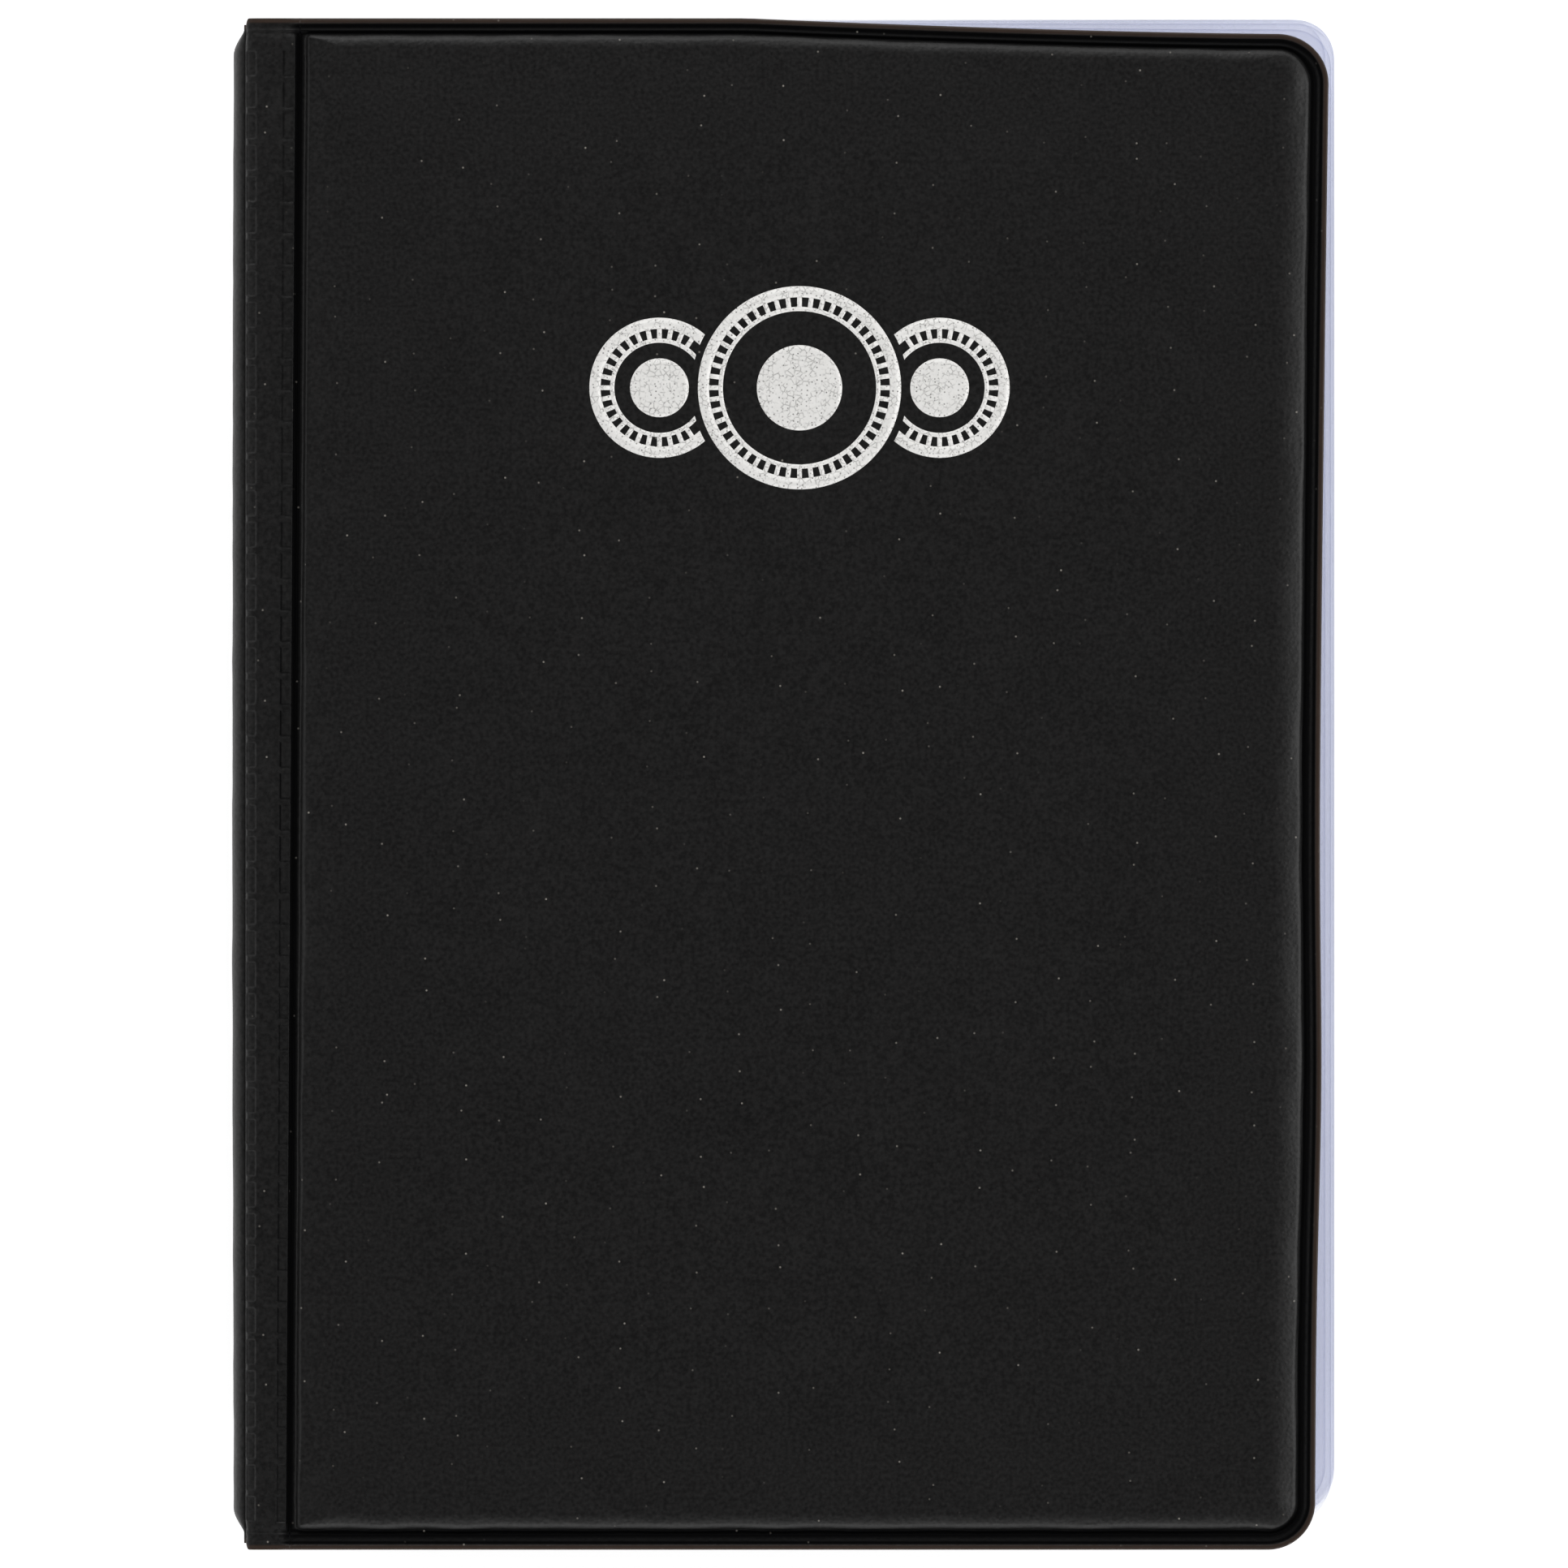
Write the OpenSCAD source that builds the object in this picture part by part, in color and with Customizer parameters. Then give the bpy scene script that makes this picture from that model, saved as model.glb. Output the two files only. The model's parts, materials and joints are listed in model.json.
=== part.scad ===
// Padded vinyl coin album with clear pocket leaves, lying closed on its back cover.
// +Y points to the head of the album and +X from the spine to the fore edge.
// The origin is at the middle of the underside.

/* [Album] */
// Height of the covers from head to tail
cover_h = 178; // [150:1:220]
// Width from the back of the spine to the fore edge of the leaves
album_w = 128.2; // [110:0.1:160]
// Thickness of the closed album
album_t = 15; // [13.5:0.5:24]
// Width from the back of the spine to the fore edge of the covers
cover_w = 126.4; // [105:0.1:158]
// Radius of the covers' outer corners
cover_corner_r = 6; // [3:0.5:10]

/* [Padding] */
// Distance from the back of the spine to the padded panel of a cover
panel_inset = 7.9; // [7:0.1:12]
// Width of the welded rim round a padded panel
rim_w = 2.5; // [2:0.1:5]
// Radius of the padded panels' corners
panel_corner_r = 4; // [2:0.5:8]
// Thickness of the outer vinyl over the padding
skin_t = 0.4; // [0.3:0.05:0.6]
// Thickness of the foam under the outer vinyl
foam_t = 0.8; // [0.5:0.1:1]
// Thickness of the cover boards
board_t = 1.3; // [1:0.1:1.4]
// Thickness of the inner lining
lining_t = 0.3; // [0.2:0.05:0.5]
// Height of the tear-seal ridge that runs round the outer edge of the rim
ridge_h = 0.25; // [0.1:0.05:0.4]

/* [Ladder welds] */
// Number of pressed cells in each ladder weld beside the spine
cell_count = 47; // [20:1:60]
// Width of a pressed cell
cell_w = 1.4; // [0.8:0.1:1.6]
// Unpressed bar between one cell and the next
cell_gap = 0.65; // [0.4:0.05:1]
// Depth of a pressed cell
cell_depth = 0.12; // [0.05:0.01:0.15]

/* [Spine] */
// Distance from the spine's outer face to the fold lines at its two corners
fold_inset = 1.6; // [1.4:0.05:2]
// Length of the welded, unpadded ends of the spine
spine_end_h = 4.3; // [3:0.1:8]

/* [Leaves] */
// Number of pocket leaves
leaf_count = 10; // [4:1:10]
// Height of a leaf
leaf_h = 174.5; // [140:0.5:180]
// Thickness of a leaf's backing sheet
sheet_t = 0.2; // [0.15:0.05:0.3]
// Thickness of the film that makes the pocket fronts
front_t = 0.2; // [0.15:0.05:0.3]
// Space that the weld seams leave between the backing sheet and the fronts
pocket_gap = 0.1; // [0.05:0.05:0.2]
// Number of pockets across a leaf
pocket_columns = 3; // [2:1:4]
// Number of pockets down a leaf
pocket_rows = 4; // [2:1:5]
// Width of a weld seam
seam_w = 1.2; // [0.8:0.1:2]
// Free film above each row of pocket fronts, where the coins go in
mouth_h = 5; // [3:0.5:8]
// Radius of the thumb notch in each pocket front
notch_r = 9; // [7:0.5:10]
// Depth of the thumb notch
notch_depth = 5; // [3:0.5:6]
// Unwelded margin between a leaf's fold and its first seam
gutter_w = 8; // [7:0.5:12]
// Unwelded margin between the last seam and a leaf's fore edge
fore_margin = 2.7; // [1:0.1:5]

/* [Emblem] */
// Height of the foil emblem, which is the diameter of its middle disc
emblem_h = 23.6; // [15:0.1:40]
// Width of the foil emblem over its three discs
emblem_w = 48.8; // [40:0.1:60]
// Distance from the middle of the album up to the middle of the emblem
emblem_y = 46; // [0:1:60]
// Thickness of the foil
foil_t = 0.05; // [0.03:0.01:0.1]

/* [Hidden] */
leaf_numbers = [for (i = [1:leaf_count]) i < 10 ? str("0", i) : str(i)];
$fn = 64;

half_h = cover_h / 2;
spine_x = -album_w / 2;
cover_x1 = spine_x + cover_w;
leaf_x1 = spine_x + album_w;

// A cover, measured up from its outer face: skin, foam and board, then lining
cover_t = skin_t + foam_t + board_t + lining_t;
// The two films of a cover or of the spine meet in a flange, on the plane through the fold line
flange_z = fold_inset;
flange_film_t = lining_t;
fold_x = spine_x + fold_inset;
fold_gap = 0.35;
flange_x0 = fold_x + fold_gap;
panel_x0 = spine_x + panel_inset;
panel_x1 = cover_x1 - rim_w;
panel_half_h = half_h - rim_w;
rim_ridge_w = 0.8;

// One ladder weld runs beside the padded panel and one beside the fold, between the rims
ladder_groove = 0.8;
ladder_x = [panel_x0 - ladder_groove - cell_w, flange_x0 + 0.1];
ladder_half_h = panel_half_h - 1;
cell_pitch = (2 * ladder_half_h + cell_gap) / cell_count;

// The spine, measured inwards from its outer face
spine_foam_t = 0.4;
spine_card_t = fold_inset + flange_film_t - skin_t - spine_foam_t;
spine_inner_x = fold_x + flange_film_t + lining_t;
spine_pad_z0 = cover_t;
spine_pad_z1 = album_t - cover_t;
spine_pad_half_h = half_h - spine_end_h;
fold_bead_r = flange_film_t;

// The leaves turn on fold lines a little inside the spine
leaf_fold_inset = 2.5;
leaf_fold_x = fold_x + leaf_fold_inset;
leaf_fold_gap = 0.15;
leaf_t = sheet_t + pocket_gap + front_t;
leaf_clearance = 0.4;
leaf_z0 = cover_t + leaf_clearance;
leaf_z1 = album_t - cover_t - leaf_clearance - leaf_t;
leaf_pitch = (leaf_z1 - leaf_z0) / (leaf_count - 1);
leaf_y1 = half_h;
leaf_y0 = leaf_y1 - leaf_h;
leaf_corner_r = 6;
strip_t = 0.5;
seam_x0 = leaf_fold_x + gutter_w;
seam_edge = 1.2;
seam_x1 = leaf_x1 - fore_margin;
column_w = (seam_x1 - seam_x0 - seam_w) / pocket_columns;
row_h = (leaf_h - 2 * seam_edge) / pocket_rows;

vinyl = [0.13, 0.13, 0.135];
lining_colour = [0.17, 0.17, 0.18];
foam_colour = [0.92, 0.90, 0.84];
board_colour = [0.66, 0.58, 0.47];
film_colour = [0.80, 0.82, 0.93, 0.45];
silver = [0.80, 0.81, 0.83];

function leaf_z(i) = leaf_z0 + i * leaf_pitch;

// ---- outlines ----

// A rectangle with its own radius for the corners at x0 and for those at x1
module round_rect(x0, x1, y0, y1, r0, r1) {
    translate([x0 + r0, y0]) square([x1 - x0 - r0 - r1, y1 - y0]);
    translate([x0, y0 + r0]) square([r0 + 0.01, y1 - y0 - 2 * r0]);
    translate([x1 - r1 - 0.01, y0 + r1]) square([r1 + 0.01, y1 - y0 - 2 * r1]);
    for (y = [y0 + r0, y1 - r0]) translate([x0 + r0, y]) circle(r0);
    for (y = [y0 + r1, y1 - r1]) translate([x1 - r1, y]) circle(r1);
}

// The flange, from the fold line to the fore edge
module rim_outline(inset = 0) {
    round_rect(flange_x0, cover_x1 - inset, -half_h + inset, half_h - inset, 0.01, cover_corner_r - inset);
}

// The padded panel, drawn in by inset on every side
module panel_outline(inset = 0) {
    r = panel_corner_r - inset;
    round_rect(panel_x0 + inset, panel_x1 - inset, -panel_half_h + inset, panel_half_h - inset, r, r);
}

// The tear-seal ridge along the outer edge of the rim, which stops at the panel's inner edge
module rim_ridge_outline() {
    difference() {
        rim_outline();
        rim_outline(rim_ridge_w);
        translate([flange_x0 - 1, -half_h]) square([panel_x0 - flange_x0 + 1, cover_h]);
    }
}

module slab(z0, z1) {
    translate([0, 0, z0]) linear_extrude(z1 - z0) children();
}

// ---- covers, drawn as the back cover lies ----

module cover_skin() {
    difference() {
        union() {
            slab(0, flange_z) panel_outline();
            slab(flange_z - flange_film_t, flange_z) rim_outline();
            slab(flange_z - flange_film_t - ridge_h, flange_z) rim_ridge_outline();
        }
        slab(skin_t, flange_z + 1) panel_outline(skin_t);
        for (x = ladder_x) weld_ladder(x);
    }
}

// The pressed cells of one ladder weld, cut into the outer face of the flange
module weld_ladder(x) {
    for (i = [0:cell_count - 1])
        translate([x, -ladder_half_h + i * cell_pitch, flange_z - flange_film_t - 1])
            cube([cell_w, cell_pitch - cell_gap, 1 + cell_depth]);
}

module cover_foam() {
    slab(skin_t, skin_t + foam_t) panel_outline(skin_t);
}

module cover_board() {
    slab(skin_t + foam_t, skin_t + foam_t + board_t) panel_outline(skin_t);
}

module cover_lining() {
    difference() {
        union() {
            slab(flange_z, flange_z + flange_film_t) rim_outline();
            slab(flange_z, cover_t) panel_outline();
        }
        slab(flange_z - 1, cover_t - lining_t) panel_outline(skin_t);
    }
}

module turned_over() {
    translate([0, 0, album_t]) mirror([0, 0, 1]) children();
}

module back_skin() { color(vinyl) cover_skin(); }
module back_foam() { color(foam_colour) cover_foam(); }
module back_board() { color(board_colour) cover_board(); }
module back_lining() { color(lining_colour) cover_lining(); }
module front_skin() { color(vinyl) turned_over() cover_skin(); }
module front_foam() { color(foam_colour) turned_over() cover_foam(); }
module front_board() { color(board_colour) turned_over() cover_board(); }
module front_lining() { color(lining_colour) turned_over() cover_lining(); }

// ---- foil emblem: three blank coin discs in a row ----

module foil_ring(r, w) {
    difference() {
        circle(r);
        circle(r - w);
    }
}

// A broad rim, a ring of short reeds inside it, a thin inner line and a solid centre
module foil_disc(r) {
    rim = 1.3;
    reed_l = 1.1;
    reed_w = 0.55;
    line_w = 0.5;
    centre_share = 0.42;
    reed_count = 4 * round(r);
    foil_ring(r, rim);
    foil_ring(r - rim - reed_l, line_w);
    circle(centre_share * r);
    for (i = [0:reed_count - 1]) rotate(i * 360 / reed_count)
        translate([r - rim - reed_l - line_w / 2, -reed_w / 2]) square([reed_l + line_w, reed_w]);
}

module foil_emblem() {
    middle_r = emblem_h / 2;
    side_r = emblem_w / 6;
    side_x = emblem_w / 2 - side_r;
    margin = 0.8;
    middle_x = (panel_x0 + panel_x1) / 2;
    color(silver) translate([middle_x, emblem_y, album_t]) linear_extrude(foil_t) {
        foil_disc(middle_r);
        for (side = [-1, 1]) difference() {
            translate([side * side_x, 0]) foil_disc(side_r);
            circle(middle_r + margin);
        }
    }
}

// ---- spine ----

// A plate standing on edge behind the leaves, from x0 to x1
module spine_plate(x0, x1, half_len, z0, z1) {
    translate([x0, -half_len, z0]) cube([x1 - x0, 2 * half_len, z1 - z0]);
}

module spine_skin() {
    color(vinyl) {
        difference() {
            union() {
                spine_plate(fold_x - flange_film_t, fold_x, half_h, flange_z, album_t - flange_z);
                spine_plate(spine_x, fold_x, spine_pad_half_h, spine_pad_z0, spine_pad_z1);
            }
            spine_plate(spine_x + skin_t, fold_x + 1, spine_pad_half_h - skin_t,
                spine_pad_z0 + skin_t, spine_pad_z1 - skin_t);
        }
        for (z = [flange_z, album_t - flange_z]) translate([fold_x, half_h, z]) rotate([90, 0, 0])
            cylinder(r = fold_bead_r, h = cover_h);
    }
}

module spine_foam() {
    color(foam_colour) spine_plate(spine_x + skin_t, spine_x + skin_t + spine_foam_t,
        spine_pad_half_h - skin_t, spine_pad_z0 + skin_t, spine_pad_z1 - skin_t);
}

module spine_card() {
    card_x0 = spine_x + skin_t + spine_foam_t;
    color(board_colour) spine_plate(card_x0, card_x0 + spine_card_t,
        spine_pad_half_h - skin_t, spine_pad_z0 + skin_t, spine_pad_z1 - skin_t);
}

module spine_lining() {
    z0 = flange_z + fold_gap;
    color(lining_colour) difference() {
        union() {
            spine_plate(fold_x, fold_x + flange_film_t, half_h, z0, album_t - z0);
            spine_plate(fold_x, spine_inner_x, spine_pad_half_h, spine_pad_z0, spine_pad_z1);
        }
        spine_plate(fold_x - 1, fold_x + flange_film_t, spine_pad_half_h - skin_t,
            spine_pad_z0 + skin_t, spine_pad_z1 - skin_t);
    }
}

module binding_strip() {
    color(film_colour) translate([spine_inner_x, leaf_y0, spine_pad_z0 + 0.1])
        cube([strip_t, leaf_h, spine_pad_z1 - spine_pad_z0 - 0.2]);
}

module leaf_stubs() {
    stub_x0 = spine_inner_x + strip_t;
    color(film_colour) for (i = [0:leaf_count - 1])
        translate([stub_x0, leaf_y0, leaf_z(i) - sheet_t / 2])
            cube([leaf_fold_x - leaf_fold_gap - stub_x0, leaf_h, sheet_t]);
}

// ---- leaves ----

module leaf_sheet(i) {
    color(film_colour) translate([0, 0, leaf_z(i) - sheet_t / 2]) {
        linear_extrude(sheet_t)
            round_rect(leaf_fold_x, leaf_x1, leaf_y0, leaf_y1, 0.01, leaf_corner_r);
        translate([leaf_fold_x, leaf_y1, sheet_t / 2]) rotate([90, 0, 0])
            cylinder(r = sheet_t / 2, h = leaf_h);
    }
}

function row_y0(row) = leaf_y0 + seam_edge + row * row_h;
function column_mid_x(column) = seam_x0 + seam_w / 2 + (column + 0.5) * column_w;

// The welds stop at the mouth of each row, so that a coin slides in from above
module leaf_seams(i) {
    color(film_colour) translate([0, 0, leaf_z(i) + sheet_t / 2]) linear_extrude(pocket_gap)
        for (row = [0:pocket_rows - 1]) {
            translate([seam_x0, row_y0(row)]) square([seam_x1 - seam_x0, seam_w]);
            for (column = [0:pocket_columns])
                translate([seam_x0 + column * column_w, row_y0(row)])
                    square([seam_w, row_h - mouth_h]);
        }
}

module leaf_pockets(i) {
    color(film_colour) translate([0, 0, leaf_z(i) + sheet_t / 2 + pocket_gap]) linear_extrude(front_t)
        for (row = [0:pocket_rows - 1]) difference() {
            translate([seam_x0, row_y0(row)]) square([seam_x1 - seam_x0, row_h - mouth_h]);
            for (column = [0:pocket_columns - 1])
                translate([column_mid_x(column), row_y0(row) + row_h - mouth_h - notch_depth + notch_r])
                    circle(notch_r);
        }
}

back_skin();
back_foam();
back_board();
back_lining();
front_skin();
front_foam();
front_board();
front_lining();
foil_emblem();
spine_skin();
spine_foam();
spine_card();
spine_lining();
binding_strip();
leaf_stubs();
for (i = [0:leaf_count - 1]) {
    leaf_sheet(i);
    leaf_seams(i);
    leaf_pockets(i);
}
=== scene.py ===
"""The looks of the coin album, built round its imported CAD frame.

Lengths are in millimetres until a mesh is made. A cover is described by heights from the plane where
its two films are welded together: positive towards its outer face, negative towards the leaves.
"""

import json
import math

import bmesh
import bpy
import numpy as np
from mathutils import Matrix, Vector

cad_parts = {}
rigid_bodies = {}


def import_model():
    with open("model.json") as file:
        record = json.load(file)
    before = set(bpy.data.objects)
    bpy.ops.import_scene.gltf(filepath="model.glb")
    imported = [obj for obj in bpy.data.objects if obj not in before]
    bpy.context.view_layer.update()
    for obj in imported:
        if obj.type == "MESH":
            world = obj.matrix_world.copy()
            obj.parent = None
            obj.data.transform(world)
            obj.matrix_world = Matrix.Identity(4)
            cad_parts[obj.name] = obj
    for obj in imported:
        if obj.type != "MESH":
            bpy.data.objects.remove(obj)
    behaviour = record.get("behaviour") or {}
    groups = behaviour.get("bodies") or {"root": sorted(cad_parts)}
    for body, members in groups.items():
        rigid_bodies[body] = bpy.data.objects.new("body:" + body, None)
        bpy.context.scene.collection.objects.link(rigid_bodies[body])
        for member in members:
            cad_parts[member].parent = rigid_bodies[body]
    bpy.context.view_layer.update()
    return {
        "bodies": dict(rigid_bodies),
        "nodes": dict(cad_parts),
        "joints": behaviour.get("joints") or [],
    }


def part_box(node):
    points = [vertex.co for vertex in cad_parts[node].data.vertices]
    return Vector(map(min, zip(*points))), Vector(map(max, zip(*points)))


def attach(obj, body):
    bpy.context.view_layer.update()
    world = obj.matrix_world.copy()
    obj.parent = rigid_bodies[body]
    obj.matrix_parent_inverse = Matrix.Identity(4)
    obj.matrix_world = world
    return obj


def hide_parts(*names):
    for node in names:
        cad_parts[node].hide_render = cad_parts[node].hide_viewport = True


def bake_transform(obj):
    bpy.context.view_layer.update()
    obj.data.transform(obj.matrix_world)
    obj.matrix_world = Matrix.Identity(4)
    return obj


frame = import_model()

MM = 0.001


# ---- sizes from the CAD frame ----

def node_box(node):
    """The lowest and highest corner of a CAD node, in millimetres."""
    low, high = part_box(node)
    return np.array(low) / MM, np.array(high) / MM


joint_at = {joint["name"]: np.array(joint["pos_m"]) / MM for joint in frame["joints"]}
leaf_names = sorted(body for body in frame["bodies"] if body.startswith("leaf_"))

FOLD_X = joint_at["front_cover_hinge"][0]
WELD_Z = {"front": joint_at["front_cover_hinge"][2], "back": joint_at["spine_hinge"][2]}
OUTWARD = {"front": 1, "back": -1}
FILM_T = 0.3

skin_high = node_box("front_skin")[1]
board_low, board_high = node_box("front_board")
lining_low = node_box("front_lining")[0]
spine_low = node_box("spine_skin")[0]
strip_low, strip_high = node_box("binding_strip")

COVER_X1 = skin_high[0]
HALF_H = skin_high[1]
PANEL_TOP = skin_high[2] - WELD_Z["front"]
LINING_TOP = lining_low[2] - WELD_Z["front"]
BOARD_BOTTOM = board_low[2] - WELD_Z["front"]
BOARD_TOP = board_high[2] - WELD_Z["front"]
SKIN_T = 0.4
PANEL_X0 = board_low[0] - SKIN_T
SPINE_BACK_X = spine_low[0]


# ---- sizes of the soft shapes ----

# The outline of a cover: its two fore corners, and how far the panel's edge by the spine leans at its ends
CORNER_R = {"head": 6.0, "tail": 5.5}
CORNER_ZONE = 14.0
SPINE_SIDE_LEAN = 0.62

# How far a cover is out of square: the drop of its head, and the lean, bow and bulge of its fore edge
HEAD_DROP = 1.85
FORE_LEAN = 0.21
FORE_BOW = 0.25
FORE_BULGE = 0.45
FORE_BULGE_Y = -35

# The welded rim, in distances from the cut edge and heights over the weld plane. Along each edge,
# RIM_SPREAD is how much wider than RIM_W it is, and RIDGE_SHIFT how far its ridge is moved inwards.
RIM_W = 2.0
RIM_SPREAD = {"fore": 0.17, "head": -0.16, "tail": 0.35}
RIM_FLOOR_H = 0.11
RIM_GROOVE_AT = 0.86
RIM_GROOVE_HALF_W = 0.26
RIM_GROOVE_DEPTH = 0.18
RIDGE_AT = 1.35
RIDGE_SHIFT = {"fore": 0.0, "head": 0.25, "tail": 0.0}
RIDGE_H = 0.02
EDGE_ROUND_W = 0.16
EDGE_ROUND_DEPTH = 0.13

# The padded panel: a steep part beside the weld, which is a share of its height, a broad part behind it,
# and a low crown over the whole
PANEL_LEFT_R = 0.7
STEEP_W = {"fore": 0.5, "head": 0.7, "tail": 0.7}
STEEP_SHARE = {"fore": 0.28, "head": 0.6, "tail": 0.55}
BROAD_W = {"fore": 4.0, "head": 1.7, "tail": 2.2}
SPINE_STEEP_W = 0.35
SPINE_STEEP_SHARE = 0.65
SPINE_BROAD_W = 4.9
CROWN_W = 20.0
CROWN_H = 0.25
SKIN_SHELL_T = 0.36
BOARD_INSET = 0.8
BOARD_CRUSH = 0.25

# The lining, over the edge of the board
LINING_ROUND_W = 1.6
LINING_SHELL_T = 0.27

# The shoulder between the panel and the fold, and the place where the hinge piece joins the cover piece
GROOVE_W = 1.08
GROOVE_H = 0.03
FLANGE_H = FILM_T
SHOULDER_PAD_H = 0.05
SHOULDER_DROOP = 0.26
FOLD_R = 0.3
FOLD_END_R = 0.7
HINGE_INNER_H = -0.25
LEAN_FADE_W = 5.0
PIECE_JOIN_X = PANEL_X0 - 0.65

# The two ladders of pressed cells on the shoulder
CELL_PITCH = 3.652
CELL_GAP = 0.66
CELL_H = CELL_PITCH - CELL_GAP
CELL_CORNER_R = 0.3
LADDER_HALF_H = 85.5
LADDER_MID_Y = -0.22
LADDER_BY_PANEL = (PANEL_X0 - 2.35, PANEL_X0 - 1.0)
LADDER_BY_FOLD_X1 = -61.35
CELL_DEPTH_BY_PANEL = 0.05
CELL_DEPTH_BY_FOLD = 0.08

# The padded spine
SPINE_PAD_MID_Y = 0.3
SPINE_PAD_HALF_H = 87.4
SPINE_TAPER_W = 2.9
SPINE_END_INSET = 0.7
SPINE_ROUND_W = 2.2
SPINE_BELLY = 0.18

# The leaves: how far they reach past their CAD sheets at the foot of the stack, how far some of them
# have slipped back, and their pockets
LEAF_SHEET_T = 0.2
LEAF_CORNER_R = {"head": 4.5, "tail": 5.5}
LEAF_REACH_X = 0.45
LEAF_REACH_Y = 0.60
LEAF_SLIP_X = {4: 1.1, 7: 0.4}
LEAF_SLIP_Y = {3: 0.45, 7: 1.15}
LEAF_BORDER = 13.0
# How strongly the painted shade along a leaf's cut edge shows, where the leaf has slipped and where it lies
# level
LEAF_EDGE_SHADE = {"slipped": 1.0, "level": 0.1}
POCKET_PUFF = 0.13
POCKET_COLUMNS = 3
POCKET_ROWS = 4
SEAM_W = 1.2
MOUTH_H = 5.0
NOTCH_R = 9.0
NOTCH_DEPTH = 5.0

# The foil discs
DISC_RIM_W = 1.3
DISC_LINE_W = 0.5
DISC_GAP = 0.8
DISC_CENTRE_SHARE = 0.42
REED_L = 1.1
REED_W = 0.55

# The studio, in degrees, watts and metres, and the camera in millimetres
LIGHTS = {"left": (180, 30, 1.3), "right": (0, 30, 5.0), "head": (98, 37, 4.8), "tail": (270, 32, 4.0)}
LIGHT_DISTANCE = 1.3
LIGHT_SIZE = 0.7
VIEW_W = 182.26
CAMERA_DISTANCE = 1300.0


# ---- shape helpers ----

def smooth(low, high, value):
    """0 up to low, 1 from high on, and a soft step between."""
    t = np.clip((value - low) / (high - low), 0, 1)
    return t * t * (3 - 2 * t)


def line_at(value, middle, half_width):
    """A soft line: 1 at the middle and 0 away from it."""
    return np.exp(-(((value - middle) / half_width) ** 2))


def cushion(depth, width, height):
    """The quarter-round rise of a padded edge, level once depth reaches width."""
    t = np.clip(depth / width, 0, 1)
    return height * np.sqrt(1 - (1 - t) ** 2)


def waves(x, y, wavelength, seed, count=7):
    """A smooth uneven surface between about -1 and 1."""
    draw = np.random.default_rng(seed)
    total = np.zeros(np.broadcast(x, y).shape)
    for _ in range(count):
        heading = draw.uniform(0, math.tau)
        pitch = wavelength * draw.uniform(0.7, 1.5)
        phase = draw.uniform(0, math.tau)
        along = x * math.cos(heading) + y * math.sin(heading)
        total += np.sin(along * math.tau / pitch + phase)
    return total / math.sqrt(count * 2)


def grid_lines(*spans):
    """Grid lines through spans of (start, end, spacing)."""
    found = []
    for start, end, spacing in spans:
        steps = max(1, round(abs(end - start) / spacing))
        found.extend(np.linspace(start, end, steps + 1))
    return np.unique(np.round(found, 4))


def mirrored(lines):
    """Grid lines on both sides of zero, from the ones on its positive side."""
    return np.unique(np.concatenate([-lines, lines]))


def surface(x, y, z):
    """A grid of points from three grids of coordinates."""
    return np.stack(np.broadcast_arrays(x, y, z), axis=-1)


def rounded_depth(a, b, radius):
    """Depth inside a corner of this radius, from the depths a and b inside its two edges."""
    qa = radius - a
    qb = radius - b
    outside = np.hypot(np.maximum(qa, 0), np.maximum(qb, 0))
    return radius - outside - np.minimum(np.maximum(qa, qb), 0)


def round_fore_corners(x, y, x1, y0, y1, radii):
    """Bends a square grid so that its lines follow the two rounded corners at x1."""
    new_x, new_y = x.copy(), y.copy()
    for y_edge, sign, radius in ((y1, 1, radii["head"]), (y0, -1, radii["tail"])):
        from_fore = x1 - x
        from_end = sign * (y_edge - y)
        inset = np.minimum(from_fore, from_end)
        along = np.maximum(from_fore, from_end) - inset
        here = (from_fore < CORNER_ZONE) & (from_end < CORNER_ZONE)
        rho = np.maximum(radius - inset, 0)
        arc_half = rho * math.pi / 4
        straight = np.maximum(CORNER_ZONE - inset - rho, 0)
        travel = along * (arc_half + straight) / np.maximum(CORNER_ZONE - inset, 1e-6)
        angle = math.pi / 4 - travel / np.maximum(rho, 1e-6)
        on_arc = travel < arc_half
        near = np.where(on_arc, inset + rho * (1 - np.cos(angle)), inset)
        far = np.where(on_arc, inset + rho * (1 - np.sin(angle)), inset + rho + travel - arc_half)
        by_fore = from_fore <= from_end
        new_x = np.where(here, x1 - np.where(by_fore, near, far), new_x)
        new_y = np.where(here, y_edge - sign * np.where(by_fore, far, near), new_y)
    return new_x, new_y


# ---- mesh helpers ----

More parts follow.
